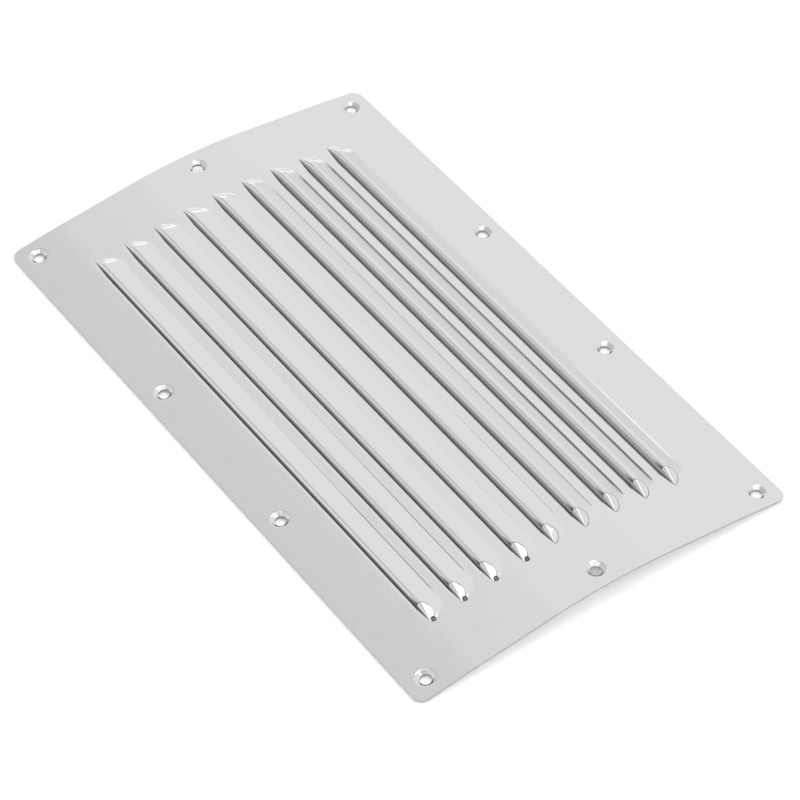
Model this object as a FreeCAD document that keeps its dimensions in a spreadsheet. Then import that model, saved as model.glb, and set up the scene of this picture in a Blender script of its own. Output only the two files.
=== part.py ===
import FreeCAD, Part
import math
import os

import Sketcher
from FreeCAD import Placement, Rotation, Vector

# Louvred ventilation panel: one bowed sheet of stainless steel with nine
# louvres pressed up out of it and ten dimpled screw holes.
# X runs across the louvres, Y along them and Z up. The louvres open to -X.

doc = FreeCAD.newDocument("LouvredPanel")

# Driving dimensions, in millimetres and degrees.
SIZES = {
    "panel_width": "195",
    "panel_length": "325",
    "sheet_thickness": "0.8",
    "corner_radius": "5",
    "side_margin": "24.949",
    "end_margin": "29.2",
    "middle_bend": "3.3",
    "margin_slope": "8.3",
    "bend_radius": "85",
    "louvre_width": "10.9",
    "louvre_rise": "3.2",
    "crest_radius": "10",
    "foot_radius": "3",
    "hole_diameter": "5.3",
    "dimple_mouth": "8.8",
    "dimple_slope": "45",
    "hole_from_side": "10",
    "hole_from_end": "9.5",
    "side_hole_along": "92.5",
}

# The middle louvre lies level, the next one on each side is tilted by one
# bend, and the louvres of each flank are tilted by two.
FLANK_LOUVRES = 3

sizes = doc.addObject("Spreadsheet::Sheet", "Sizes")
for row, (alias, figure) in enumerate(SIZES.items(), start=1):
    sizes.set(f"A{row}", alias)
    sizes.set(f"B{row}", figure)
    sizes.setAlias(f"B{row}", alias)
doc.recompute()


# Helpers for bound objects and sketches.

def bind(obj, **expressions):
    """Bind properties to the sizes; a double underscore stands for a dot."""
    for name, expression in expressions.items():
        obj.setExpression(name.replace("__", "."), expression)


def number(expression):
    """The present value of an expression that reads the sizes."""
    result = sizes.evalExpression(expression)
    return float(getattr(result, "Value", result))


def dimension(sketch, name, expression, kind, *geometry):
    """Add a named dimension to a sketch and bind it to the sizes."""
    value = number(expression)
    if kind == "Angle":
        value = math.radians(value)
    index = sketch.addConstraint(Sketcher.Constraint(kind, *geometry, value))
    sketch.renameConstraint(index, name)
    sketch.setExpression(f"Constraints.{name}", expression)


def relate(sketch, kind, *geometry):
    """Add a constraint that has no size."""
    sketch.addConstraint(Sketcher.Constraint(kind, *geometry))


def origin_plane(body, role):
    return next(plane for plane in body.Origin.OriginFeatures if plane.Role == role)


def upright(name, body=None):
    """A sketch in the XZ plane, alone or in a body."""
    if body is None:
        sketch = doc.addObject("Sketcher::SketchObject", name)
        sketch.Placement = Placement(Vector(), Rotation(Vector(1, 0, 0), 90))
        return sketch
    sketch = body.newObject("Sketcher::SketchObject", name)
    sketch.AttachmentSupport = [(origin_plane(body, "XZ_Plane"), "")]
    sketch.MapMode = "FlatFace"
    return sketch


def line(start, end):
    return Part.LineSegment(Vector(*start, 0), Vector(*end, 0))


def arc(centre, radius, first, last):
    """Counter-clockwise arc between two angles in degrees."""
    circle = Part.Circle(Vector(*centre, 0), Vector(0, 0, 1), radius)
    return Part.ArcOfCircle(circle, math.radians(first), math.radians(last))


def linked(source, name, **expressions):
    """A copy of an object, moved from its own place and tilted about Y."""
    copy = doc.addObject("App::Link", name)
    copy.LinkedObject = source
    copy.LinkTransform = True
    copy.Placement = Placement(Vector(), Rotation(Vector(0, 1, 0), 1))
    bind(copy, **expressions)
    return copy


def combined(kind, name, parts):
    """Several objects as one Part::MultiFuse or Part::Compound."""
    whole = doc.addObject(kind, name)
    if kind == "Part::Compound":
        whole.Links = parts
    else:
        whole.Shapes = parts
    return whole


def cut(name, base, tool):
    remainder = doc.addObject("Part::Cut", name)
    remainder.Base = base
    remainder.Tool = tool
    return remainder


# The louvres fill the sheet between its margins, and the outer holes follow
# the sheet's edges.
MARGIN_START = "(Sizes.panel_width / 2 - Sizes.side_margin)"
PITCH = (
    f"({MARGIN_START} / (0.5 + cos(Sizes.middle_bend)"
    f" + {FLANK_LOUVRES} * cos(2 * Sizes.middle_bend)))"
)
LOUVRE_LENGTH = "(Sizes.panel_length - 2 * Sizes.end_margin)"
HOLES_ACROSS = "(Sizes.panel_width - 2 * Sizes.hole_from_side)"
HOLES_ALONG = "(Sizes.panel_length - 2 * Sizes.hole_from_end)"

# The crown: how far each stretch of the bowed section reaches across and
# how far it falls, from the middle outwards.
LEVEL = f"{PITCH} / 2"
TURN_RUN = f"{PITCH} * cos(Sizes.middle_bend)"
TURN_FALL = f"{PITCH} * sin(Sizes.middle_bend)"
FLANK_RUN = f"{PITCH} * cos(2 * Sizes.middle_bend)"
FLANK_FALL = f"{PITCH} * sin(2 * Sizes.middle_bend)"
MARGIN_TOP = f"({TURN_FALL} + {FLANK_LOUVRES} * {FLANK_FALL})"
MARGIN_FALL = "Sizes.side_margin * tan(Sizes.margin_slope)"

STRETCHES = [
    ("turn", TURN_RUN, TURN_FALL),
    ("flank", f"{FLANK_LOUVRES} * {FLANK_RUN}", f"{FLANK_LOUVRES} * {FLANK_FALL}"),
    ("margin", "Sizes.side_margin", MARGIN_FALL),
]

# Slope of each flat stretch of the half section, from the middle outwards.
SLOPES = ["0", "Sizes.middle_bend", "2 * Sizes.middle_bend", "Sizes.margin_slope"]


def fold_points():
    """Where the flats of the right half would meet if no bend were rounded."""
    points = [(0.0, 0.0), (number(LEVEL), 0.0)]
    for _, run, fall in STRETCHES:
        across, height = points[-1]
        points.append((across + number(run), height - number(fall)))
    return points


def half_outline(radius, depth):
    """Flats and bend arcs of one face of the sheet, a depth below its top."""
    folds, slopes = fold_points(), [math.radians(number(slope)) for slope in SLOPES]
    starts, arcs = [], []
    for fold, before, after in zip(folds[1:], slopes, slopes[1:]):
        reach = radius * math.tan((after - before) / 2)
        into = Vector(math.cos(before), -math.sin(before), 0) * reach
        centre = Vector(*fold, 0) - into - normal(before) * radius
        arcs.append((centre, before, after))
        starts.append(centre + normal(before) * (radius - depth))
        starts.append(centre + normal(after) * (radius - depth))
    first = Vector(*folds[0], 0) - normal(slopes[0]) * depth
    last = Vector(*folds[-1], 0) - normal(slopes[-1]) * depth
    ends = [first] + starts + [last]
    flats = [Part.LineSegment(ends[k], ends[k + 1]) for k in range(0, len(ends), 2)]
    bends = [arc((centre.x, centre.y), radius - depth,
                 90 - math.degrees(after), 90 - math.degrees(before))
             for centre, before, after in arcs]
    return flats, bends


def normal(slope):
    """Upward normal of a flat that falls to the right at a slope."""
    return Vector(math.sin(slope), math.cos(slope), 0)


def draw_crown(sketch):
    """Right half of the bowed section, one thickness deep, with its bends."""
    radius, thickness = number("Sizes.bend_radius"), number("Sizes.sheet_thickness")
    folds = fold_points()
    guides = [line(start, end) for start, end in zip(folds, folds[1:])]
    top_flats, top_bends = half_outline(radius, 0)
    under_flats, under_bends = half_outline(radius, thickness)
    middle = Part.LineSegment(under_flats[0].StartPoint, top_flats[0].StartPoint)
    edge = Part.LineSegment(top_flats[-1].EndPoint, under_flats[-1].EndPoint)
    guide = sketch.addGeometry(guides, True)
    top = sketch.addGeometry(top_flats, False)
    over = sketch.addGeometry(top_bends, False)
    under = sketch.addGeometry(under_flats, False)
    below = sketch.addGeometry(under_bends, False)
    middle, edge = sketch.addGeometry([middle, edge], False)
    place_guides(sketch, guide)
    for bend in range(len(over)):
        for flats, bends in ((top, over), (under, below)):
            relate(sketch, "Tangent", flats[bend], 2, bends[bend], 2)
            relate(sketch, "Tangent", bends[bend], 1, flats[bend + 1], 1)
        relate(sketch, "Coincident", over[bend], 3, below[bend], 3)
        dimension(sketch, f"over_{bend}", "Sizes.bend_radius", "Radius", over[bend])
        dimension(sketch, f"below_{bend}", "Sizes.bend_radius - Sizes.sheet_thickness",
                  "Radius", below[bend])
    for flat, straight in zip(top[1:-1], guide[1:-1]):
        relate(sketch, "PointOnObject", flat, 1, straight)
        relate(sketch, "PointOnObject", flat, 2, straight)
    relate(sketch, "Coincident", top[0], 1, guide[0], 1)
    relate(sketch, "PointOnObject", top[0], 2, guide[0])
    relate(sketch, "Coincident", top[-1], 2, guide[-1], 2)
    relate(sketch, "PointOnObject", top[-1], 1, guide[-1])
    relate(sketch, "Coincident", middle, 2, top[0], 1)
    relate(sketch, "Coincident", middle, 1, under[0], 1)
    relate(sketch, "Coincident", edge, 1, top[-1], 2)
    relate(sketch, "Coincident", edge, 2, under[-1], 2)
    relate(sketch, "Parallel", under[0], top[0])
    relate(sketch, "Parallel", under[-1], top[-1])
    relate(sketch, "Vertical", middle)
    relate(sketch, "Perpendicular", edge, top[-1])


def place_guides(sketch, guide):
    """Set the unrounded top line out from the middle of the panel."""
    relate(sketch, "Coincident", guide[0], 1, -1, 1)
    relate(sketch, "PointOnObject", guide[0], 2, -1)
    dimension(sketch, "level", LEVEL, "DistanceX", guide[0], 1, guide[0], 2)
    for straight, before, (name, run, fall) in zip(guide[1:], guide, STRETCHES):
        relate(sketch, "Coincident", before, 2, straight, 1)
        dimension(sketch, f"{name}_run", run, "DistanceX", straight, 1, straight, 2)
        dimension(sketch, f"{name}_fall", fall, "DistanceY", straight, 2, straight, 1)


def add_fillet(body, name, base, chosen, radius):
    """Round those edges of a body's last feature that pass a test."""
    fillet = body.newObject("PartDesign::Fillet", name)
    edges = enumerate(base.Shape.Edges, start=1)
    fillet.Base = (base, [f"Edge{index}" for index, edge in edges if chosen(edge)])
    bind(fillet, Radius=radius)
    doc.recompute()
    return fillet


def is_corner(edge):
    """Whether an edge is one of the four short ones at the sheet's corners."""
    across_thickness = edge.Length < 1.5 * number("Sizes.sheet_thickness")
    return across_thickness and edge.BoundBox.YLength < 1e-6


def bowed_blank():
    """The sheet before it is pierced: half section, padded, mirrored, rounded."""
    body = doc.addObject("PartDesign::Body", "Blank")
    section = upright("CrownSection", body)
    draw_crown(section)
    pad = body.newObject("PartDesign::Pad", "HalfSheet")
    pad.Profile = section
    pad.SideType = "Symmetric"
    bind(pad, Length="Sizes.panel_length")
    mirrored = body.newObject("PartDesign::Mirrored", "WholeSheet")
    mirrored.Originals = [pad]
    mirrored.MirrorPlane = (origin_plane(body, "YZ_Plane"), [""])
    body.Tip = mirrored
    doc.recompute()
    add_fillet(body, "Corners", mirrored, is_corner, "Sizes.corner_radius")
    return body


# Louvres: one section, run straight along the sheet and turned through a
# quarter circle at each end, so that the cap has the same form as the back.

def ramp_slope(width, rise, radii):
    """Slope in degrees of the straight ramp that touches the crest and foot arcs."""
    ramp_length = math.sqrt(width ** 2 + rise * (rise - 2 * radii))
    return 2 * math.degrees(math.atan((width - ramp_length) / (2 * radii - rise)))


def draw_louvre(sketch):
    """Skin of a louvre: lip at the origin's left, crest arc, ramp and foot arc."""
    width, rise = number("Sizes.louvre_width"), number("Sizes.louvre_rise")
    crest, foot = number("Sizes.crest_radius"), number("Sizes.foot_radius")
    thickness = number("Sizes.sheet_thickness")
    slope = ramp_slope(width, rise, crest + foot)
    sine, cosine = math.sin(math.radians(slope)), math.cos(math.radians(slope))
    crest_centre, foot_centre = (0, rise - crest), (width, foot)
    lip, top_crest, top_ramp, top_foot, rim, under_foot, under_ramp, under_crest = range(8)
    ends = {}
    for face, deeper in (("top", 0), ("under", thickness)):
        ends[face] = [
            ((crest - deeper) * sine, crest_centre[1] + (crest - deeper) * cosine),
            (width - (foot + deeper) * sine, foot - (foot + deeper) * cosine),
        ]
    sketch.addGeometry(line((0, rise - thickness), (0, rise)))
    sketch.addGeometry(arc(crest_centre, crest, 90 - slope, 90))
    sketch.addGeometry(line(*ends["top"]))
    sketch.addGeometry(arc(foot_centre, foot, 270 - slope, 270))
    sketch.addGeometry(line((width, 0), (width, -thickness)))
    sketch.addGeometry(arc(foot_centre, foot + thickness, 270 - slope, 270))
    sketch.addGeometry(line(*ends["under"]))
    sketch.addGeometry(arc(crest_centre, crest - thickness, 90 - slope, 90))
    relate(sketch, "Coincident", lip, 2, top_crest, 2)
    relate(sketch, "Tangent", top_crest, 1, top_ramp, 1)
    relate(sketch, "Tangent", top_ramp, 2, top_foot, 1)
    relate(sketch, "Coincident", top_foot, 2, rim, 1)
    relate(sketch, "Coincident", rim, 2, under_foot, 2)
    relate(sketch, "Tangent", under_ramp, 2, under_foot, 1)
    relate(sketch, "Tangent", under_crest, 1, under_ramp, 1)
    relate(sketch, "Coincident", under_crest, 2, lip, 1)
    relate(sketch, "Coincident", top_crest, 3, under_crest, 3)
    relate(sketch, "Coincident", top_foot, 3, under_foot, 3)
    relate(sketch, "PointOnObject", lip, 1, -2)
    relate(sketch, "PointOnObject", lip, 2, -2)
    relate(sketch, "PointOnObject", top_crest, 3, -2)
    relate(sketch, "PointOnObject", rim, 1, -1)
    relate(sketch, "Vertical", rim)
    relate(sketch, "Vertical", top_foot, 3, rim, 1)
    dimension(sketch, "width", "Sizes.louvre_width", "DistanceX", -1, 1, rim, 1)
    dimension(sketch, "rise", "Sizes.louvre_rise", "DistanceY", -1, 1, lip, 2)
    dimension(sketch, "crest", "Sizes.crest_radius", "Radius", top_crest)
    dimension(sketch, "foot", "Sizes.foot_radius", "Radius", top_foot)
    dimension(sketch, "depth", "Sizes.sheet_thickness", "DistanceY", rim, 2, rim, 1)


def draw_window(sketch):
    """The flat sheet that a louvre takes up, one thickness more each way."""
    width, thickness = number("Sizes.louvre_width"), number("Sizes.sheet_thickness")
    above, below = thickness, -2 * thickness
    corners = [(0, below), (width, below), (width, above), (0, above)]
    for index in range(4):
        sketch.addGeometry(line(corners[index], corners[(index + 1) % 4]))
    for index in range(4):
        relate(sketch, "Coincident", index, 2, (index + 1) % 4, 1)
    relate(sketch, "Horizontal", 0)
    relate(sketch, "Vertical", 1)
    relate(sketch, "Horizontal", 2)
    relate(sketch, "Vertical", 3)
    relate(sketch, "PointOnObject", 3, 1, -2)
    dimension(sketch, "width", "Sizes.louvre_width", "DistanceX", 0, 1, 0, 2)
    dimension(sketch, "above", "Sizes.sheet_thickness", "DistanceY", -1, 1, 2, 1)
    dimension(sketch, "below", "2 * Sizes.sheet_thickness", "DistanceY", 0, 1, -1, 1)


def straight_run(name, section):
    run = doc.addObject("Part::Extrusion", name)
    run.Base = section
    run.DirMode = "Custom"
    run.Dir = Vector(0, 1, 0)
    run.Solid = True
    run.Symmetric = True
    bind(run, LengthFwd=f"{LOUVRE_LENGTH} - 2 * Sizes.louvre_width")
    return run


def turned_end(name, section, side):
    """The section turned a quarter circle about the lip, towards +Y or -Y."""
    end = doc.addObject("Part::Revolution", name)
    end.Source = section
    end.Axis = Vector(0, 0, side)
    end.Angle = 90
    end.Solid = True
    bind(end, Placement__Base__y=f"{side} * ({LOUVRE_LENGTH} / 2 - Sizes.louvre_width)")
    return end


def louvre_form(name, draw):
    """A section carried along the whole louvre: straight run and two ends."""
    section = upright(f"{name}Section")
    draw(section)
    doc.recompute()
    parts = [
        straight_run(f"{name}Run", section),
        turned_end(f"{name}FarEnd", section, 1),
        turned_end(f"{name}NearEnd", section, -1),
    ]
    return combined("Part::MultiFuse", name, parts)


def louvre_place(step):
    """Where the cut line of a louvre lies, counted in steps from the middle."""
    side = 1 if step > 0 else -1
    distance = abs(step)
    if distance == 0:
        across, fall, tilt = "0", "0", "0"
    elif distance == 1:
        across = f"({LEVEL} + {TURN_RUN} / 2)"
        fall = f"{TURN_FALL} / 2"
        tilt = "Sizes.middle_bend"
    else:
        # The flank starts half a pitch before its first louvre's middle.
        along = distance - 2 + 0.5
        across = f"({LEVEL} + {TURN_RUN} + {along} * {FLANK_RUN})"
        fall = f"({TURN_FALL} + {along} * {FLANK_FALL})"
        tilt = "2 * Sizes.middle_bend"
    half = "Sizes.louvre_width / 2"
    return {
        "Placement__Base__x": f"{side} * {across} - {half} * cos({tilt})",
        "Placement__Base__z": f"{side} * {half} * sin({tilt}) - {fall}",
        "Placement__Rotation__Angle": f"{side} * {tilt}",
    }


def louvre_places():
    reach = FLANK_LOUVRES + 1
    return [louvre_place(step) for step in range(-reach, reach + 1)]


# Screw holes: each is a dimple pressed down for a countersunk head and then
# pierced straight through, square to the panel as a whole.

DIMPLE_REACH = (
    "(Sizes.dimple_mouth / 2"
    " + Sizes.sheet_thickness * tan(Sizes.dimple_slope / 2))"
)
SEAT_DEPTH = (
    "((Sizes.dimple_mouth - Sizes.hole_diameter) / 2 * tan(Sizes.dimple_slope))"
)


def draw_dimple(sketch):
    """Skin of a dimple: a cone of sheet that runs in past the hole's wall."""
    mouth, reach = number("Sizes.dimple_mouth / 2"), number(DIMPLE_REACH)
    slope = math.radians(number("Sizes.dimple_slope"))
    thickness = number("Sizes.sheet_thickness")
    tip = number("Sizes.hole_diameter / 2 - Sizes.sheet_thickness")
    top_tip = (tip, (tip - mouth) * math.tan(slope))
    under_tip = (tip + thickness * math.sin(slope),
                 top_tip[1] - thickness * math.cos(slope))
    corners = [top_tip, (mouth, 0), (reach, 0), (reach, -thickness), under_tip]
    cone, sheet, rim, under_cone, tip_end = range(5)
    for index in range(5):
        sketch.addGeometry(line(corners[index], corners[(index + 1) % 5]))
    for index in range(5):
        relate(sketch, "Coincident", index, 2, (index + 1) % 5, 1)
    relate(sketch, "PointOnObject", cone, 2, -1)
    relate(sketch, "Horizontal", sheet)
    relate(sketch, "Vertical", rim)
    relate(sketch, "Parallel", cone, under_cone)
    relate(sketch, "Perpendicular", cone, tip_end)
    dimension(sketch, "mouth", "Sizes.dimple_mouth / 2", "DistanceX", -1, 1, cone, 2)
    dimension(sketch, "reach", DIMPLE_REACH, "DistanceX", -1, 1, sheet, 2)
    dimension(sketch, "slope", "Sizes.dimple_slope", "Angle", cone)
    dimension(sketch, "depth", "Sizes.sheet_thickness", "DistanceY", rim, 2, rim, 1)
    dimension(sketch, "tip", "Sizes.hole_diameter / 2 - Sizes.sheet_thickness",
              "DistanceX", -1, 1, cone, 1)


def dimple_skin():
    section = upright("DimpleSection")
    draw_dimple(section)
    skin = doc.addObject("Part::Revolution", "Dimple")
    skin.Source = section
    skin.Axis = Vector(0, 0, 1)
    skin.Angle = 360
    skin.Solid = True
    return skin


def dimple_window():
    """Round piece of sheet that a dimple takes up, one thickness more each way."""
    cutter = doc.addObject("Part::Cylinder", "DimpleWindow")
    bind(cutter, Radius=DIMPLE_REACH, Height="3 * Sizes.sheet_thickness",
         Placement__Base__z="-2 * Sizes.sheet_thickness")
    return cutter


def hole_drill():
    """Cylinder from the top of the crown down past the lowest dimple."""
    depth = f"({MARGIN_TOP} + {MARGIN_FALL} + Sizes.dimple_mouth)"
    drill = doc.addObject("Part::Cylinder", "Drill")
    bind(drill, Radius="Sizes.hole_diameter / 2", Height=depth,
         Placement__Base__z=f"-{depth}")
    return drill


def dimple_places():
    """Where the dimples' axes meet the top of the sheet, and the holes' sides."""
    margin_x = f"({HOLES_ACROSS} / 2 + {SEAT_DEPTH} * sin(Sizes.margin_slope))"
    margin_z = f"(-{MARGIN_TOP} - ({margin_x} - {MARGIN_START}) * tan(Sizes.margin_slope))"
    for along in (HOLES_ALONG, "Sizes.side_hole_along"):
        for end in (-1, 1):
            for side in (-1, 1):
                yield {
                    "Placement__Base__x": f"{side} * {margin_x}",
                    "Placement__Base__y": f"{end} * {along} / 2",
                    "Placement__Base__z": margin_z,
                    "Placement__Rotation__Angle": f"{side} * Sizes.margin_slope",
                }
    for end in (-1, 1):
        yield {
            "Placement__Base__y": f"{end} * {HOLES_ALONG} / 2",
            "Placement__Rotation__Angle": "0",
        }


def hole_places():
    """Axes of the screw holes, all parallel to Z."""
    for along in (HOLES_ALONG, "Sizes.side_hole_along"):
        for end in (-1, 1):
            for side in (-1, 1):
                yield {
                    "Placement__Base__x": f"{side} * {HOLES_ACROSS} / 2",
                    "Placement__Base__y": f"{end} * {along} / 2",
                    "Placement__Rotation__Angle": "0",
                }
    for end in (-1, 1):
        yield {
            "Placement__Base__y": f"{end} * {HOLES_ALONG} / 2",
            "Placement__Rotation__Angle": "0",
        }


def placed(source, prefix, places):
    return [linked(source, f"{prefix}{index}", **place)
            for index, place in enumerate(places, start=1)]


# The panel: windows cut in the blank, louvres and dimples set in their
# places, one solid made of them all and the holes drilled through it.

def louvred_panel():
    blank = bowed_blank()
    louvre = louvre_form("Louvre", draw_louvre)
    louvre_window = louvre_form("LouvreWindow", draw_window)
    dimple, window = dimple_skin(), dimple_window()
    windows = placed(louvre_window, "LouvreGap", louvre_places())
    windows += placed(window, "DimpleGap", dimple_places())
    pierced = cut("Pierced", blank, combined("Part::Compound", "Windows", windows))
    formed = placed(louvre, "Louvre", louvre_places())
    formed += placed(dimple, "Dimple", dimple_places())
    skin = combined("Part::MultiFuse", "Skin", [pierced] + formed)
    skin.Refine = True
    drills = placed(hole_drill(), "Drill", hole_places())
    panel = cut("Panel", skin, combined("Part::Compound", "Drills", drills))
    panel.Label = "louvred_panel"
    return panel


panel = louvred_panel()
doc.recompute()

# The origin lies under the middle of the panel, level with its lowest points.
lowest = panel.Shape.optimalBoundingBox(False, False).ZMin
panel.Placement = Placement(Vector(0, 0, -lowest), Rotation())
doc.recompute()

for item in doc.Objects:
    if "Invalid" in item.State or "Error" in item.State:
        raise RuntimeError(f"{item.Label} failed: {item.State}")
if panel.Shape.isNull() or not panel.Shape.isValid():
    raise RuntimeError("the panel's shape is not valid")
if len(panel.Shape.Solids) != 1:
    raise RuntimeError("the panel is not one solid")

os.makedirs("parts", exist_ok=True)
panel.Shape.exportStep(f"parts/{panel.Label}.step")
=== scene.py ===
import math

import bpy
import numpy as np
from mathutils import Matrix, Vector, geometry


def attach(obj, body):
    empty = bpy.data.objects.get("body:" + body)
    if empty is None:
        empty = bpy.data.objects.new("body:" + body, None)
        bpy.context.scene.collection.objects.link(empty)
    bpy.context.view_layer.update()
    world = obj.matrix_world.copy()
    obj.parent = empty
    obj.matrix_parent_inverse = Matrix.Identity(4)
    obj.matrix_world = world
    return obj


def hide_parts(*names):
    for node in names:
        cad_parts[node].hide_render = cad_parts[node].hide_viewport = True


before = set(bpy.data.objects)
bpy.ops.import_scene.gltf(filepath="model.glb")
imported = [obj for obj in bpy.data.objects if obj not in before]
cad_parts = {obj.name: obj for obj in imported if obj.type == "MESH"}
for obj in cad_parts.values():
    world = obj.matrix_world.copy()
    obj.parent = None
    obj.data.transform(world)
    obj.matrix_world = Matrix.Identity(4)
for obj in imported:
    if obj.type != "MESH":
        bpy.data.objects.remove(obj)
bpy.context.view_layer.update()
MM = 0.001


# The blank: one sheet of stainless steel, sheared to size with its corners
# rounded, and bent to a low crown by six shallow bends that run between the
# louvres. It stands on its two long edges.

SHEET_THICKNESS = 0.8 * MM
SHEET_LENGTH = 325 * MM
SIDE_MARGIN = 24.949 * MM
LOUVRE_PITCH = 16.2 * MM
CORNER_RADIUS = 5 * MM
BEND_RADIUS = 85 * MM
MARGIN_SLOPE = math.radians(8.3)
CROWN_TILTS = [0, math.radians(3.3), math.radians(6.6), MARGIN_SLOPE]
BENDS = [0.5 * LOUVRE_PITCH, 1.5 * LOUVRE_PITCH, 4.5 * LOUVRE_PITCH]
SHEET_HALF = BENDS[-1] + SIDE_MARGIN / math.cos(MARGIN_SLOPE)
EDGE_UNDERSIDE = 0.88 * MM
OUTLINE_SPACING = 5 * MM
CORNER_STEPS = 10
CROWN_STEPS = 8000


def crown_tilt(along):
    """Downward tilt of the sheet at distances from its middle line."""
    tilt = np.zeros(np.shape(along))
    for bend, before, after in zip(BENDS, CROWN_TILTS, CROWN_TILTS[1:]):
        reach = BEND_RADIUS * (after - before) / 2
        share = np.clip((np.abs(along) - bend + reach) / (2 * reach), 0, 1)
        tilt += (after - before) * share
    return np.sign(along) * tilt


def crown_line():
    """Half of the crown's top line as a table: distance, reach, height."""
    along = np.linspace(0, SHEET_HALF, CROWN_STEPS + 1)
    tilt = crown_tilt(along)
    step = along[1] - along[0]
    middle = (tilt[1:] + tilt[:-1]) / 2
    reach = np.concatenate([[0], np.cumsum(np.cos(middle)) * step])
    fall = np.concatenate([[0], np.cumsum(np.sin(middle)) * step])
    edge_top = EDGE_UNDERSIDE + SHEET_THICKNESS * math.cos(MARGIN_SLOPE)
    return along, reach, edge_top + fall[-1] - fall


CROWN_TABLE = crown_line()


def blank_outline():
    """Closed outline of the flat blank, counter-clockwise."""
    inner_u, inner_y = SHEET_HALF - CORNER_RADIUS, SHEET_LENGTH / 2 - CORNER_RADIUS
    points = []
    for turn, (su, sy) in enumerate(((1, 1), (-1, 1), (-1, -1), (1, -1))):
        for step in range(CORNER_STEPS + 1):
            angle = (turn + step / CORNER_STEPS) * math.pi / 2
            points.append((su * inner_u + CORNER_RADIUS * math.cos(angle),
                           sy * inner_y + CORNER_RADIUS * math.sin(angle)))
    filled = []
    for start, end in zip(points, points[1:] + points[:1]):
        count = max(1, round(math.dist(start, end) / OUTLINE_SPACING))
        for step in range(count):
            share = step / count
            filled.append((start[0] + (end[0] - start[0]) * share,
                           start[1] + (end[1] - start[1]) * share))
    return filled


# The louvres: nine long hoods of the same sheet, lanced along their left side
# and pressed up in one stroke. Each has an open slot under a nose that rolls
# over, a straight sloping back and closed, rounded ends.

LOUVRE_STEPS = range(-4, 5)
LOUVRE_WIDTH = 10.9 * MM
LOUVRE_HALF = 133.3 * MM
LOUVRE_RISE = 3.2 * MM
CREST_RADIUS = 10 * MM
FOOT_RADIUS = 3 * MM
NOSE_RADIUS = 1.7 * MM
NOSE_SHARE = 0.6
NOSE_STEPS = 8
TURN_STEPS = 16

# The ends: a rounded dome, cut by a bowed flat beside each end of the lip.
# The flats bow more at the far ends (1) than at the near ends (-1).
DOME_REACH = 9.6 * MM
DOME_FOOT = 0.25 * MM
DOME_FROM, DOME_FULL = math.radians(10), math.radians(60)
FLAT_EDGE = 0.06 * MM
FLAT_BOW = {-1: 1.0 * MM, 1: 2.5 * MM}
FLAT_STEPS = 24
# A thin painted dark line, a painted reflection, runs round the edge of each near flat:
# the mesh lines along the flats' edges, and half that line's width.
EDGE_LINES = 5
EDGE_LINE_HALF = 0.25 * MM
# The first four louvres have a small painted dark ring at the near tip, a painted
# reflection: its place past the lip and past the turn, its radius and half its width.
RINGED_LOUVRES = 4
TIP_RING = [1.8 * MM, 9.1 * MM, 0.75 * MM]
RING_HALF = 0.45 * MM

# The tools' marks: the strip is drawn down along the slot, and the edge of the
# die leaves a line or a steeper band along the foot. FOOT_MARKS gives the depth
# of the line and the height of the band in mm, left to right.
ROLLOVER_WIDTH = 2.4 * MM
ROLLOVER_DEPTH = 0.1 * MM
DIE_LINE_AT = 10.2 * MM
DIE_LINE_HALF = 0.35 * MM
FOOT_BAND = [2.5 * MM, 8.2 * MM, 10.2 * MM]
FOOT_MARKS = [(0.08, 0), (0.07, 0), (0.04, 0), (0.035, 0), (0.04, 0),
              (0, 0.02), (0, 0.23), (0, 0.23), (0, 0.11)]
# The first two feet also get a thin painted dark line, a painted reflection, along the
# die's line.
DARK_FEET = 2
DARK_LINE_HALF = 0.3 * MM
TOUCHING = 0.01 * MM

TURN_AT = LOUVRE_HALF - LOUVRE_WIDTH
FADE_FROM = TURN_AT - 4 * MM
RADII = CREST_RADIUS + FOOT_RADIUS
RAMP_LENGTH = math.sqrt(LOUVRE_WIDTH**2 + LOUVRE_RISE * (LOUVRE_RISE - 2 * RADII))
RAMP_SLOPE = 2 * math.atan((LOUVRE_WIDTH - RAMP_LENGTH) / (2 * RADII - LOUVRE_RISE))
CREST_REACH = CREST_RADIUS * math.sin(RAMP_SLOPE)
FOOT_REACH = LOUVRE_WIDTH - FOOT_RADIUS * math.sin(RAMP_SLOPE)
CUT_LINES = [step * LOUVRE_PITCH - LOUVRE_WIDTH / 2 for step in LOUVRE_STEPS]


def hood_height(reach):
    """Height of a louvre's skin at distances from its lip."""
    crest = np.sqrt(np.maximum(CREST_RADIUS**2 - reach**2, 0))
    crest += LOUVRE_RISE - CREST_RADIUS
    ramp_top = LOUVRE_RISE - CREST_RADIUS * (1 - math.cos(RAMP_SLOPE))
    ramp = ramp_top - (reach - CREST_REACH) * math.tan(RAMP_SLOPE)
    to_foot = np.clip(LOUVRE_WIDTH - reach, 0, FOOT_RADIUS)
    foot = FOOT_RADIUS - np.sqrt(FOOT_RADIUS**2 - to_foot**2)
    height = np.where(reach < CREST_REACH, crest, ramp)
    return np.where(reach < FOOT_REACH, height, foot)


def lip_distance(u, y, cut):
    """How far points lie from the straight part of a lip."""
    past_turn = np.maximum(np.abs(y) - TURN_AT, 0)
    return np.hypot(u - cut, past_turn)


def smooth_step(value, start, end):
    """Rises from 0 to 1 between two values, level at both."""
    share = np.clip((value - start) / (end - start), 0, 1)
    return share * share * (3 - 2 * share)


def dome_height(reach):
    """Height of the rounded end of a hood at distances from its lip."""
    dome = LOUVRE_RISE * (1 - (reach / DOME_REACH)**2)
    blend = 0.5 + 0.5 * np.clip(dome / DOME_FOOT, -1, 1)
    return np.where(dome > DOME_FOOT, dome, DOME_FOOT * blend**2)


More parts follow.
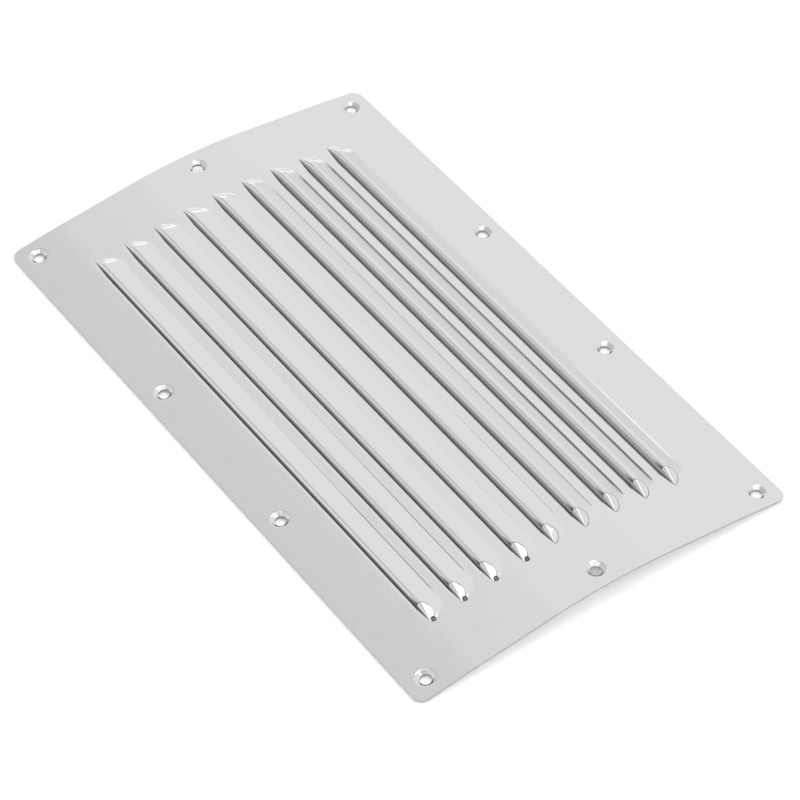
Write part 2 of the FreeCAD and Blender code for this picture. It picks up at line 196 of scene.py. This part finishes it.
def flat_height(y):
    """Height of the bowed flat beside the end of a lip, fuller at the far end."""
    share = np.maximum(np.abs(y) - TURN_AT, 0) / DOME_REACH
    bow = np.where(y < 0, FLAT_BOW[-1], FLAT_BOW[1])
    return (LOUVRE_RISE + bow * share) * (1 - share)


def end_height(u, y, cut):
    """Height of a hood, with the rounded end and the flat that the shear left."""
    reach = lip_distance(u, y, cut)
    past_turn = np.maximum(np.abs(y) - TURN_AT, 0)
    turned = np.arctan2(past_turn, np.maximum(u - cut, 1e-9))
    share = smooth_step(turned, DOME_FROM, DOME_FULL)
    hood = hood_height(reach) * (1 - share) + dome_height(reach) * share
    flat = flat_height(y)
    lower = np.minimum(hood, flat)
    overlap = np.clip(1 - np.abs(hood - flat) / FLAT_EDGE, 0, 1)
    return np.maximum(lower - overlap**2 * FLAT_EDGE / 4, 0)


def painted_dark_reflections(u, y):
    """Painted dark reflections, from 0 to 1: thin lines round the near flats, rings at
    the tips and lines along the feet.
    """
    middle = DOME_REACH / 2
    past_turn = -y - TURN_AT
    painted_dark = np.zeros_like(u)
    for index, cut in enumerate(CUT_LINES):
        across = (u - cut) / math.sqrt(1 - FLAT_BOW[-1] / LOUVRE_RISE)
        off = (np.hypot(across, past_turn - middle) - middle) / EDGE_LINE_HALF
        line = np.where((past_turn > 0) & (u > cut), 1 - np.clip(np.abs(off), 0, 1), 0)
        tip = np.hypot(u - cut - TIP_RING[0], past_turn - TIP_RING[1]) - TIP_RING[2]
        ring = np.clip(1.6 - np.abs(tip) / RING_HALF, 0, 1)
        foot = 1 - np.clip(np.abs(u - cut - DIE_LINE_AT) / DARK_LINE_HALF, 0, 1)
        foot *= 1 - smooth_step(np.abs(y), FADE_FROM, TURN_AT)
        foot *= 0.6 - 0.4 * smooth_step(y, -60 * MM, 20 * MM)
        # Painted reflections: each mark later darkens the steel's colour.
        painted_dark += line + ring * (index < RINGED_LOUVRES) + foot * (index < DARK_FEET)
    return np.minimum(painted_dark, 1)


def nose_radius(y):
    """Radius of the rolled nose, which runs out where the hood comes down."""
    return np.minimum(NOSE_RADIUS, NOSE_SHARE * np.maximum(flat_height(y), 0))


def nose_drop(u, y, cut):
    """How far the nose turns down from the hood's crest towards the slot."""
    radius = nose_radius(y)
    inward = np.clip(radius - (u - cut), 0, radius)
    return radius - np.sqrt(np.maximum(radius**2 - inward**2, 0))


def rollover(u, y, cut):
    """How far the flat strip is drawn down along the slot."""
    inward = np.clip((u - cut) / ROLLOVER_WIDTH + 1, 0, 1.01)
    inward[u > cut + TOUCHING] = 0
    fade = 1 - smooth_step(np.abs(y), FADE_FROM, LOUVRE_HALF - 1 * MM)
    return ROLLOVER_DEPTH * inward**2 * fade


def foot_marks(u, y, cut, index):
    """The die's mark along a foot, fainter towards the far end."""
    depth, rise = FOOT_MARKS[index]
    inward = u - cut
    line = (1 - np.clip((inward - DIE_LINE_AT) / DIE_LINE_HALF, -1, 1)**2)**2
    band = np.interp(inward, FOOT_BAND, [0, 1, 0])
    fade = 1 - smooth_step(np.abs(y), FADE_FROM, TURN_AT + 1.3 * MM)
    fade *= 1 - 0.6 * smooth_step(y, -75 * MM, -40 * MM)
    return (rise * band - depth * line) * MM * fade


def nose_line(cut, share, rows, ends):
    """Line at one share of the nose radius behind the lip, end to end."""
    along = [-end for end in ends[:0:-1]] + rows + ends[1:]
    return [(cut + share * float(nose_radius(y)), y) for y in along]


def flat_edge(cut, side, offset):
    """A half ellipse along the edge of the flat at a hood's end."""
    radius = DOME_REACH / 2
    narrow = math.sqrt(1 - FLAT_BOW[side] / LOUVRE_RISE)
    line = []
    for step in range(1, FLAT_STEPS):
        angle = step / FLAT_STEPS * math.pi
        u = cut + (radius + offset) * narrow * math.sin(angle)
        past = TURN_AT + radius - (radius + offset) * math.cos(angle)
        line.append((u, side * past))
    return line


def hood_line(cut, reach, rows):
    """A line round a louvre at one distance from its lip."""
    if reach == 0:
        return [(cut, y) for y in rows]
    near, far = [], []
    for step in range(TURN_STEPS + 1):
        angle = step / TURN_STEPS * math.pi / 2
        u = cut + reach * math.sin(angle)
        past = TURN_AT + reach * math.cos(angle)
        near.append((u, -past))
        far.append((u, past))
    return near[:-1] + [(cut + reach, y) for y in rows] + far[::-1][1:]


# The screw dimples: ten holes in the same sheet, each pressed down into a
# cone, so that the head of a countersunk screw lies flush, and pierced
# straight down.

HOLE_RADIUS = 2.65 * MM
MOUTH_RADIUS = 4.4 * MM
MOUTH_EDGE_RADIUS = 1.4 * MM
DIMPLE_SLOPE = math.radians(38)
DIMPLE_REACH = MOUTH_RADIUS + MOUTH_EDGE_RADIUS * math.tan(DIMPLE_SLOPE / 2)
CONE_END = DIMPLE_REACH - MOUTH_EDGE_RADIUS * math.sin(DIMPLE_SLOPE)
SEAT_DEPTH = (MOUTH_RADIUS - HOLE_RADIUS) * math.tan(DIMPLE_SLOPE)
HOLE_ACROSS = 87.5 * MM
HOLE_ROWS = [153 * MM, 46.25 * MM]
HOLE_STEPS = 48
HALVINGS = 40


def dimple_height(reach):
    """Height of a dimple's skin, from its axis outwards."""
    cone = (reach - MOUTH_RADIUS) * math.tan(DIMPLE_SLOPE)
    inward = np.clip(DIMPLE_REACH - reach, 0, MOUTH_EDGE_RADIUS)
    edge = np.sqrt(MOUTH_EDGE_RADIUS**2 - inward**2) - MOUTH_EDGE_RADIUS
    return np.where(reach < CONE_END, cone, edge)


def dimple_centres():
    """Axes of the dimples on the flat blank, with the tilt of the sheet there."""
    beyond = HOLE_ACROSS + SEAT_DEPTH * math.sin(MARGIN_SLOPE)
    along, reach, _ = CROWN_TABLE
    side = float(np.interp(beyond, reach, along))
    centres = [(su * side, sy * row, su * MARGIN_SLOPE)
               for row in HOLE_ROWS for sy in (-1, 1) for su in (-1, 1)]
    return centres + [(0, sy * HOLE_ROWS[0], 0) for sy in (-1, 1)]


def hole_edge(tilt, drop):
    """Where a plumb hole leaves the cone, or a cone that lies lower by a drop."""
    axis = np.array([-math.sin(tilt), 0, math.cos(tilt)])
    ring = []
    for step in range(HOLE_STEPS):
        angle = 2 * math.pi * step / HOLE_STEPS
        low, high = 1 * MM, MOUTH_RADIUS
        for _ in range(HALVINGS):
            reach = (low + high) / 2
            height = (reach - MOUTH_RADIUS) * math.tan(DIMPLE_SLOPE) - drop
            point = np.array([reach * math.cos(angle), reach * math.sin(angle),
                              height + SEAT_DEPTH])
            away = np.linalg.norm(point - axis * (point @ axis))
            low, high = (reach, high) if away < HOLE_RADIUS else (low, reach)
        ring.append((reach * math.cos(angle), reach * math.sin(angle), height))
    return np.array(ring)


DIMPLES = dimple_centres()


# The pressed sheet: one piece of cold-rolled stainless steel. The flat blank is
# divided along the tools' lines, each point is raised or sunk as its louvre or
# dimple asks and bent to the crown, and the underside lies one thickness below.

HOOD_ROWS = 41
CREST_LINES, BACK_LINES, FOOT_LINES = 5, 4, 5
STRIP_LINES = (0.2, 0.4)
ROLLOVER_LINES = (1, 0.75, 0.5, 0.25)
DIE_LINES = (-1, -0.5, 0, 0.5, 1)
BAND_EDGE_HALF = 0.2 * MM
RING_LINES = (0.25 * MM, 0.5 * MM, 0.8 * MM, 1.1 * MM, 1.4 * MM)
RING_STEPS = 16
MOUTH_LINES = 5
CONE_LINE_SHARE = 0.45
MARGIN_INSET, MARGIN_SPACING = 4 * MM, 5.1 * MM
CLEARANCE = 2 * MM
WELD = 1e-7
SAME_PLACE = 1e-6
SLOPE_STEP = 1e-6
SMALLEST_WALL = 1e-14


def circle(centre, radius, steps):
    turns = [2 * math.pi * step / steps for step in range(steps)]
    return [(centre[0] + radius * math.cos(turn), centre[1] + radius * math.sin(turn))
            for turn in turns]


class Pattern:
    """Points of the flat blank, with the lines that its faces keep."""

    def __init__(self):
        self.points, self.edges = [], []

    def add_line(self, points, closed=False):
        first = len(self.points)
        self.points += points
        count = len(points)
        self.edges += [(first + k, first + k + 1) for k in range(count - 1)]
        if closed:
            self.edges.append((first + count - 1, first))

    def add_free(self, u, y):
        """A point inside the sheet, left out where a line is near."""
        if any(math.dist((u, y), (cu, cy)) < DIMPLE_REACH + CLEARANCE
               for cu, cy, _ in DIMPLES):
            return
        if abs(y) < LOUVRE_HALF + CLEARANCE:
            for cut in CUT_LINES:
                reach = math.hypot(u - cut, max(abs(y) - TURN_AT, 0))
                if u > cut - CLEARANCE and reach < LOUVRE_WIDTH + CLEARANCE:
                    return
        self.points.append((u, y))


def blank_pattern():
    """The flat blank with every line along which the sheet is formed."""
    pattern = Pattern()
    pattern.add_line(blank_outline(), closed=True)
    rows = list(np.linspace(-TURN_AT, TURN_AT, HOOD_ROWS))
    reaches = list(np.linspace(0, CREST_REACH, CREST_LINES + 1))
    reaches += list(np.linspace(CREST_REACH, FOOT_REACH, BACK_LINES + 1))[1:]
    reaches += list(np.linspace(FOOT_REACH, LOUVRE_WIDTH, FOOT_LINES + 1))[1:]
    for cut in CUT_LINES:
        for reach in reaches:
            pattern.add_line(hood_line(cut, reach, rows))
        ends = [TURN_AT + reach for reach in reaches]
        pattern.add_line([(cut, -end) for end in ends])
        pattern.add_line([(cut, end) for end in ends])
        for turn in np.linspace(0, math.pi / 2, NOSE_STEPS + 1)[:-1]:
            pattern.add_line(nose_line(cut, 1 - math.sin(turn), rows, ends))
    for cut in CUT_LINES:
        foot_line = cut + LOUVRE_WIDTH
        gap = LOUVRE_PITCH - LOUVRE_WIDTH
        if cut != CUT_LINES[-1]:
            for share in STRIP_LINES:
                pattern.add_line([(foot_line + share * gap, y) for y in rows])
        for share in ROLLOVER_LINES:
            line = cut - share * ROLLOVER_WIDTH
            pattern.add_line([(line, y) for y in (-LOUVRE_HALF, *rows, LOUVRE_HALF)])
        marks = [DIE_LINE_AT + share * DIE_LINE_HALF for share in DIE_LINES]
        marks += [FOOT_BAND[1] - BAND_EDGE_HALF, FOOT_BAND[1] + BAND_EDGE_HALF]
        for inward in marks:
            pattern.add_line([(cut + inward, y) for y in rows])
        tip = (cut + TIP_RING[0], -TURN_AT - TIP_RING[1])
        for radius in RING_LINES:
            pattern.add_line(circle(tip, radius, RING_STEPS), closed=True)
        for side in (-1, 1):
            for offset in np.linspace(-EDGE_LINE_HALF, EDGE_LINE_HALF, EDGE_LINES):
                pattern.add_line(flat_edge(cut, side, offset))
    for cu, cy, tilt in DIMPLES:
        ring = hole_edge(tilt, 0)
        pattern.add_line([(cu + u, cy + y) for u, y, _ in ring], closed=True)
        inner = HOLE_RADIUS + CONE_LINE_SHARE * (CONE_END - HOLE_RADIUS)
        mouth = [CONE_END + (DIMPLE_REACH - CONE_END) * k / MOUTH_LINES
                 for k in range(MOUTH_LINES + 1)]
        for radius in [inner] + mouth:
            pattern.add_line(circle((cu, cy), radius, HOLE_STEPS), closed=True)
    reach_u, reach_y = SHEET_HALF - MARGIN_INSET, SHEET_LENGTH / 2 - MARGIN_INSET
    for u in np.linspace(-reach_u, reach_u, round(2 * reach_u / MARGIN_SPACING)):
        for y in np.linspace(-reach_y, reach_y, round(2 * reach_y / MARGIN_SPACING)):
            pattern.add_free(float(u), float(y))
    return pattern


def raised(u, y, hood):
    """Height of the formed sheet over the crown; hood is a louvre or -1."""
    height = np.zeros_like(u)
    for index, cut in enumerate(CUT_LINES):
        on = hood == index
        height[on] += end_height(u[on], y[on], cut)
        height[on] -= nose_drop(u[on], y[on], cut)
        height[on] += foot_marks(u[on], y[on], cut, index)
        height[hood == -1] -= rollover(u[hood == -1], y[hood == -1], cut)
    for cu, cy, _ in DIMPLES:
        reach = np.hypot(u - cu, y - cy)
        on = reach < DIMPLE_REACH
        height[on] += dimple_height(reach[on])
    return height


def bent(u, y, height):
    """Points over the flat blank, carried to their place on the crown."""
    along, reach, level = CROWN_TABLE
    tilt = crown_tilt(u)
    across = np.sign(u) * np.interp(np.abs(u), along, reach)
    return np.stack([across + height * np.sin(tilt), y,
                     np.interp(np.abs(u), along, level) + height * np.cos(tilt)], 1)


def sheet_normals(u, y, hood):
    """Upward normals of the formed sheet's top."""
    ahead, behind = raised(u + SLOPE_STEP, y, hood), raised(u - SLOPE_STEP, y, hood)
    slope_u = (ahead - behind) / (2 * SLOPE_STEP)
    ahead, behind = raised(u, y + SLOPE_STEP, hood), raised(u, y - SLOPE_STEP, hood)
    slope_y = (ahead - behind) / (2 * SLOPE_STEP)
    tilt = crown_tilt(u)
    size = np.sqrt(slope_u**2 + slope_y**2 + 1)
    return np.stack([-slope_u * np.cos(tilt) + np.sin(tilt), -slope_y,
                     slope_u * np.sin(tilt) + np.cos(tilt)], 1) / size[:, None]


def pressed_sheet():
    """Faces of the formed sheet, with corners on its top and underside."""
    pattern = blank_pattern()
    points, _, faces, *_ = geometry.delaunay_2d_cdt(
        [Vector(point) for point in pattern.points], pattern.edges, [], 0, WELD)
    flat = np.array([tuple(point) for point in points])
    faces = np.array(faces)
    centre = flat[faces].mean(1)
    hood_of_face = np.full(len(faces), -1)
    for index, cut in enumerate(CUT_LINES):
        near = (centre[:, 0] > cut) & (np.abs(centre[:, 1]) < LOUVRE_HALF)
        near &= lip_distance(centre[:, 0], centre[:, 1], cut) < LOUVRE_WIDTH
        hood_of_face[near] = index
    # The faces over a hole are those whose corners all lie on its edge.
    keep = np.ones(len(faces), bool)
    for cu, cy, tilt in DIMPLES:
        widest = np.hypot(*hole_edge(tilt, 0)[:, :2].T).max() + SAME_PLACE
        on_edge = np.hypot(flat[:, 0] - cu, flat[:, 1] - cy) < widest
        keep &= ~on_edge[faces].all(1)
    faces, hood_of_face = faces[keep], hood_of_face[keep]

    # Along each slot the louvre's faces get corners of their own.
    hood = np.full(len(flat), -1)
    extra_flat, extra_hood = [], []
    for index, cut in enumerate(CUT_LINES):
        mine = hood_of_face == index
        hood[np.unique(faces[mine])] = index
        on_cut = np.abs(flat[:, 0] - cut) < SAME_PLACE
        on_cut &= np.abs(flat[:, 1]) < LOUVRE_HALF - SAME_PLACE
        hood[on_cut] = -1
        open_cut = on_cut & (np.abs(flat[:, 1]) < TURN_AT + DOME_REACH)
        twin = {old: len(flat) + len(extra_flat) + k
                for k, old in enumerate(np.flatnonzero(open_cut))}
        extra_flat += [flat[old] for old in twin]
        extra_hood += [index] * len(twin)
        rows = faces[mine]
        for old, new in twin.items():
            rows[rows == old] = new
        faces[mine] = rows
    flat = np.vstack([flat, extra_flat])
    hood = np.concatenate([hood, extra_hood])
    used, faces = np.unique(faces, return_inverse=True)
    faces = faces.reshape(-1, 3)
    flat, hood = flat[used], hood[used]

    u, y = flat.T
    top = bent(u, y, raised(u, y, hood))
    normals = sheet_normals(u, y, hood)
    under = top - SHEET_THICKNESS * normals
    # The last value is the painted dark reflections at each corner of the top.
    return flat, faces, top, under, normals, painted_dark_reflections(u, y)


def panel_mesh():
    """Corners and faces of the whole panel, with its skins and its edges."""
    flat, faces, top, under, normals, painted_dark = pressed_sheet()
    count = len(top)
    corners = [top, under]
    skins = 2 * len(faces)
    polygons = [tuple(face) for face in faces]
    shading = [normals[face] for face in faces]
    polygons += [tuple(face[::-1] + count) for face in faces]
    shading += [-normals[face[::-1]] for face in faces]

    # Sheared edges: every edge of the top that has a face on one side only.
    sides = {}
    for face in faces:
        for a, b in zip(face, np.roll(face, -1)):
            sides[(a, b)] = True
    open_edges = [(a, b) for a, b in sides if (b, a) not in sides]
    # A hole's wall runs straight down from its edge, and then out to the end of
    # the underside.
    hole_ends = {}
    rim_points = []
    for cu, cy, tilt in DIMPLES:
        lower = hole_edge(tilt, SHEET_THICKNESS / math.cos(DIMPLE_SLOPE))
        upper = hole_edge(tilt, 0)
        bottom = bent(np.full(HOLE_STEPS, cu), np.full(HOLE_STEPS, cy),
                      np.zeros(HOLE_STEPS))
        axis_u = np.array([math.cos(tilt), 0, -math.sin(tilt)])
        axis_n = np.array([math.sin(tilt), 0, math.cos(tilt)])
        placed = (bottom + lower[:, :1] * axis_u + lower[:, 1:2] * np.array([0, 1, 0])
                  + lower[:, 2:] * axis_n)
        for k in range(HOLE_STEPS):
            spot = upper[k, :2] + (cu, cy)
            index = int(np.argmin(((flat - spot)**2).sum(1)))
            hole_ends[index] = 2 * count + len(rim_points)
            rim_points.append(placed[k])
    corners.append(np.array(rim_points))
    corners = np.vstack(corners)
    for a, b in open_edges:
        if a in hole_ends and b in hole_ends:
            low_a, low_b = hole_ends[a], hole_ends[b]
            quads = [(b, a, low_a, low_b), (low_b, low_a, a + count, b + count)]
        else:
            quads = [(b, a, a + count, b + count)]
        for quad in quads:
            p = corners[list(quad)]
            normal = np.cross(p[2] - p[0], p[3] - p[1])
            size = np.linalg.norm(normal)
            if size < SMALLEST_WALL:
                continue
            polygons.append(tuple(quad))
            shading.append(np.tile(normal / size, (4, 1)))
    # The underside and the hole walls' own corners get no painted dark reflections.
    painted_dark = np.concatenate([painted_dark, np.zeros(len(corners) - count)])
    sheared = np.arange(len(polygons)) >= skins
    return corners, polygons, np.vstack(shading), painted_dark, sheared


def make_panel():
    """The panel as one object, with the top's own normals kept."""
    corners, polygons, shading, painted_dark, sheared = panel_mesh()
    mesh = bpy.data.meshes.new("pressed_sheet")
    mesh.from_pydata(corners.tolist(), [], [[int(i) for i in p] for p in polygons])
    mesh.update()
    mesh.polygons.foreach_set("use_smooth", [True] * len(mesh.polygons))
    mesh.normals_split_custom_set(shading.tolist())
    # The painted dark reflections go to the steel as a point attribute.
    mesh.attributes.new("painted_dark_reflection", "FLOAT", "POINT").data.foreach_set("value", painted_dark)
    mesh.polygons.foreach_set("material_index", sheared.astype(int))
    panel = bpy.data.objects.new("pressed_panel", mesh)
    bpy.context.scene.collection.objects.link(panel)
    return panel


def satin_steel():
    """Cold-rolled stainless steel: bright, faintly wavy, drawn lengthwise, darkened in
    painted dark reflections.
    """
    material = bpy.data.materials.new("satin_steel")
    material.use_nodes = True
    nodes, links = material.node_tree.nodes, material.node_tree.links
    shader = nodes["Principled BSDF"]
    shader.inputs["Metallic"].default_value = 1.0
    # Painted reflections: the colour goes nearly black along the painted dark lines and
    # rings.
    painted_dark_factor = nodes.new("ShaderNodeAttribute")
    painted_dark_factor.attribute_name = "painted_dark_reflection"
    painted_dark_mix = nodes.new("ShaderNodeMix")
    painted_dark_mix.data_type = "RGBA"
    painted_dark_mix.inputs["A"].default_value = (0.72, 0.72, 0.72, 1)
    painted_dark_mix.inputs["B"].default_value = (0.06, 0.06, 0.06, 1)
    links.new(painted_dark_factor.outputs["Fac"], painted_dark_mix.inputs["Factor"])
    links.new(painted_dark_mix.outputs["Result"], shader.inputs["Base Color"])
    place = nodes.new("ShaderNodeTexCoord")
    drawn = nodes.new("ShaderNodeMapping")
    drawn.inputs["Scale"].default_value = (1, 0.02, 1)
    links.new(place.outputs["Object"], drawn.inputs["Vector"])
    streaks = nodes.new("ShaderNodeTexNoise")
    streaks.inputs["Scale"].default_value = 1100
    streaks.inputs["Detail"].default_value = 2
    links.new(drawn.outputs["Vector"], streaks.inputs["Vector"])
    mottle = nodes.new("ShaderNodeTexNoise")
    mottle.inputs["Scale"].default_value = 45
    mottle.inputs["Detail"].default_value = 2
    links.new(place.outputs["Object"], mottle.inputs["Vector"])
    rough = nodes.new("ShaderNodeMapRange")
    rough.inputs["To Min"].default_value = 0.10
    rough.inputs["To Max"].default_value = 0.16
    links.new(mottle.outputs["Fac"], rough.inputs["Value"])
    links.new(rough.outputs["Result"], shader.inputs["Roughness"])
    wavy = nodes.new("ShaderNodeBump")
    wavy.inputs["Distance"].default_value = 0.12 * MM
    wavy.inputs["Strength"].default_value = 1.0
    links.new(mottle.outputs["Fac"], wavy.inputs["Height"])
    bump = nodes.new("ShaderNodeBump")
    links.new(wavy.outputs["Normal"], bump.inputs["Normal"])
    bump.inputs["Distance"].default_value = 0.004 * MM
    bump.inputs["Strength"].default_value = 1.0
    links.new(streaks.outputs["Fac"], bump.inputs["Height"])
    links.new(bump.outputs["Normal"], shader.inputs["Normal"])
    return material


def sheared_steel():
    """The raw grey of a cut edge, with the fine lines that the blade left."""
    material = bpy.data.materials.new("sheared_steel")
    material.use_nodes = True
    nodes, links = material.node_tree.nodes, material.node_tree.links
    shader = nodes["Principled BSDF"]
    shader.inputs["Metallic"].default_value = 1.0
    shader.inputs["Roughness"].default_value = 0.45
    place = nodes.new("ShaderNodeTexCoord")
    lines = nodes.new("ShaderNodeTexNoise")
    lines.inputs["Scale"].default_value = 900
    links.new(place.outputs["Object"], lines.inputs["Vector"])
    grey = nodes.new("ShaderNodeMapRange")
    grey.inputs["To Min"].default_value = 0.25
    grey.inputs["To Max"].default_value = 0.45
    links.new(lines.outputs["Fac"], grey.inputs["Value"])
    links.new(grey.outputs["Result"], shader.inputs["Base Color"])
    return material


panel = make_panel()
panel.data.materials.append(satin_steel())
panel.data.materials.append(sheared_steel())
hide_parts("louvred_panel")
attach(panel, "root")


# The floor: a plain white table top that the panel lies on, with painted shade
# under the louvres. It shows white wherever the light reaches it, and keeps the
# panel's shadow.

TABLE_HALF = 3
TABLE_DROP = 0.2 * MM
# The painted shade under the louvres, and the reach of the painted glow that grows to the
# right there.
PAINTED_SHADE_HALF = (76 * MM, 140 * MM)
PAINTED_GLOW_REACH = 70 * MM


def seen_directly(nodes, links):
    """1 for rays that lead to the eye: direct, mirrored or let through."""
    rays = nodes.new("ShaderNodeLightPath")
    seen = rays.outputs["Is Camera Ray"]
    for kind in ("Is Glossy Ray", "Is Transmission Ray"):
        either = nodes.new("ShaderNodeMath")
        either.operation = "MAXIMUM"
        links.new(seen, either.inputs[0])
        links.new(rays.outputs[kind], either.inputs[1])
        seen = either.outputs[0]
    return seen


def table_surface(name, plain, seen, glow):
    """White paper with one colour for the light and one for the eye.

    Its faint glow, painted light, goes from one value on the left to another on the
    right.
    """
    material = bpy.data.materials.new(name)
    material.use_nodes = True
    nodes, links = material.node_tree.nodes, material.node_tree.links
    nodes.remove(nodes["Principled BSDF"])
    eye = seen_directly(nodes, links)
    paper = nodes.new("ShaderNodeBsdfDiffuse")
    shade = nodes.new("ShaderNodeMapRange")
    shade.inputs["To Min"].default_value = plain
    shade.inputs["To Max"].default_value = seen
    links.new(eye, shade.inputs["Value"])
    links.new(shade.outputs["Result"], paper.inputs["Color"])
    place = nodes.new("ShaderNodeTexCoord")
    parts = nodes.new("ShaderNodeSeparateXYZ")
    links.new(place.outputs["Object"], parts.inputs["Vector"])
    across = nodes.new("ShaderNodeMapRange")
    across.inputs["From Min"].default_value = -PAINTED_GLOW_REACH
    across.inputs["From Max"].default_value = PAINTED_GLOW_REACH
    across.inputs["To Min"].default_value = glow[0]
    across.inputs["To Max"].default_value = glow[1]
    links.new(parts.outputs["X"], across.inputs["Value"])
    faint = nodes.new("ShaderNodeMath")
    faint.operation = "MULTIPLY"
    links.new(across.outputs["Result"], faint.inputs[0])
    links.new(eye, faint.inputs[1])
    shine = nodes.new("ShaderNodeEmission")
    links.new(faint.outputs[0], shine.inputs["Strength"])
    both = nodes.new("ShaderNodeAddShader")
    links.new(paper.outputs[0], both.inputs[0])
    links.new(shine.outputs[0], both.inputs[1])
    links.new(both.outputs[0], nodes["Material Output"].inputs["Surface"])
    return material


def rectangle(half_x, half_y):
    return [(-half_x, -half_y, 0), (half_x, -half_y, 0),
            (half_x, half_y, 0), (-half_x, half_y, 0)]


# The part of the table under the louvres is a face of its own, with painted shade: a
# darker paper and a painted glow that grows towards the right.
floor_mesh = bpy.data.meshes.new("table_top")
floor_mesh.from_pydata(rectangle(*PAINTED_SHADE_HALF) + rectangle(TABLE_HALF, TABLE_HALF), [],
                       [(0, 1, 2, 3), (4, 5, 1, 0), (5, 6, 2, 1), (6, 7, 3, 2),
                        (7, 4, 0, 3)])
# Painted shade and painted light: darker paper under the louvres, whose glow grows from
# left to right.
floor_mesh.materials.append(table_surface("painted_shade_table", 0.4, 0.4, (0.12, 0.24)))
floor_mesh.materials.append(table_surface("white_table", 0.8, 1.25, (0.08, 0.08)))
floor_mesh.polygons.foreach_set("material_index", [0, 1, 1, 1, 1])
floor = bpy.data.objects.new("table_top", floor_mesh)
bpy.context.scene.collection.objects.link(floor)
floor.location.z = -TABLE_DROP


# The light: a white studio whose ceiling is greyer towards the left, with three
# soft boxes: one nearly overhead, a wide one on the camera's side, and a small
# one low beyond the far end.

# Brightness by the sine of the lean from overhead, from the left walls (-1) to
# the right walls (1).
STUDIO_TONES = [(-1.0, 0.98), (-0.87, 0.86), (-0.5, 0.68), (-0.26, 0.70),
                (0.0, 0.77), (0.19, 0.85), (0.26, 0.99), (0.5, 0.98),
                (0.71, 1.01), (0.96, 1.01), (0.99, 0.88)]


def white_studio():
    """The walls and the ceiling, whose tone changes only from left to right."""
    world = bpy.data.worlds.new("studio")
    bpy.context.scene.world = world
    world.use_nodes = True
    nodes, links = world.node_tree.nodes, world.node_tree.links
    direction = nodes.new("ShaderNodeTexCoord")
    level = nodes.new("ShaderNodeVectorMath")
    level.operation = "MULTIPLY"
    level.inputs[1].default_value = (1, 0, 1)
    links.new(direction.outputs["Generated"], level.inputs[0])
    unit = nodes.new("ShaderNodeVectorMath")
    unit.operation = "NORMALIZE"
    links.new(level.outputs["Vector"], unit.inputs[0])
    parts = nodes.new("ShaderNodeSeparateXYZ")
    links.new(unit.outputs["Vector"], parts.inputs["Vector"])
    across = nodes.new("ShaderNodeMapRange")
    across.inputs["From Min"].default_value = -1
    links.new(parts.outputs["X"], across.inputs["Value"])
    tones = nodes.new("ShaderNodeValToRGB")
    stops = tones.color_ramp.elements
    while len(stops) < len(STUDIO_TONES):
        stops.new(0.5)
    for stop, (lean, tone) in zip(stops, STUDIO_TONES):
        stop.position = (lean + 1) / 2
        stop.color = (tone, tone, tone, 1)
    links.new(across.outputs["Result"], tones.inputs["Fac"])
    links.new(tones.outputs["Color"], nodes["Background"].inputs["Color"])


def soft_lamp(name, direction, distance, width, height, radiance):
    """A rectangular soft box that faces the panel from a direction."""
    lamp = bpy.data.lights.new(name, "AREA")
    lamp.shape = "RECTANGLE"
    lamp.size, lamp.size_y = width, height
    lamp.energy = radiance * math.pi * width * height
    holder = bpy.data.objects.new(name, lamp)
    holder.location = Vector(direction).normalized() * distance
    holder.rotation_euler = Vector(direction).to_track_quat("Z", "Y").to_euler()
    bpy.context.scene.collection.objects.link(holder)


white_studio()
soft_lamp("overhead_lamp", (0.19, -0.12, 0.97), 1.5, 0.5, 0.5, 2.0)
soft_lamp("camera_side_lamp", (-0.15, -0.44, 0.88), 1.9, 2.8, 0.9, 0.6)
soft_lamp("low_far_lamp", (0.48, 0.86, 0.19), 2.0, 0.7, 0.34, 0.42)


# The camera: a long lens above the near left corner, looking down at the open
# side of the louvres, as the photograph was taken.

camera = bpy.data.objects.new("camera", bpy.data.cameras.new("camera"))
camera.data.sensor_width = 36
camera.data.lens = 154.76
camera.data.clip_end = 20
camera.location = (-0.60171, -0.87726, 1.10504)
camera.rotation_euler = (math.radians(43.48), math.radians(0.4918), math.radians(-35.302))
bpy.context.scene.collection.objects.link(camera)
bpy.context.scene.camera = camera
bpy.context.scene.view_settings.view_transform = "Standard"
